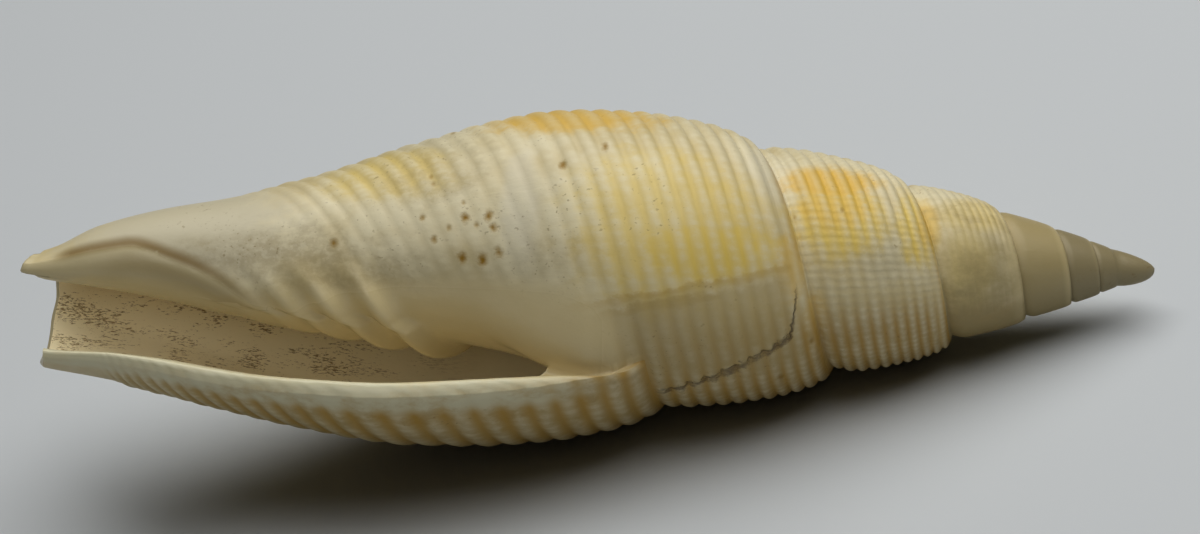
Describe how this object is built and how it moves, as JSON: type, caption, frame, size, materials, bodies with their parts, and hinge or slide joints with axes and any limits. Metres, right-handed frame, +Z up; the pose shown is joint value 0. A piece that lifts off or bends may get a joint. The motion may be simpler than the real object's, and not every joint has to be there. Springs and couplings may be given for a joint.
{
  "type": "isabella mitre shell",
  "caption": "Long slender mitre seashell lying on its side: a tall stepped spire, fine spiral cords, and a narrow open aperture with folds on its columella and a notched front end.",
  "frame": {"origin": "middle of the bounding box's base, on the surface that the shell rests on", "axes": "+X towards the apex along the lying shell, +Z up, -Y towards the side the aperture opens to"},
  "size_m": [0.0782, 0.024, 0.0221],
  "materials": {
    "shell": "satin, with a glossy callus and aperture"
  },
  "bodies": {
    "root": {"shell": "shell"}
  },
  "joints": []
}
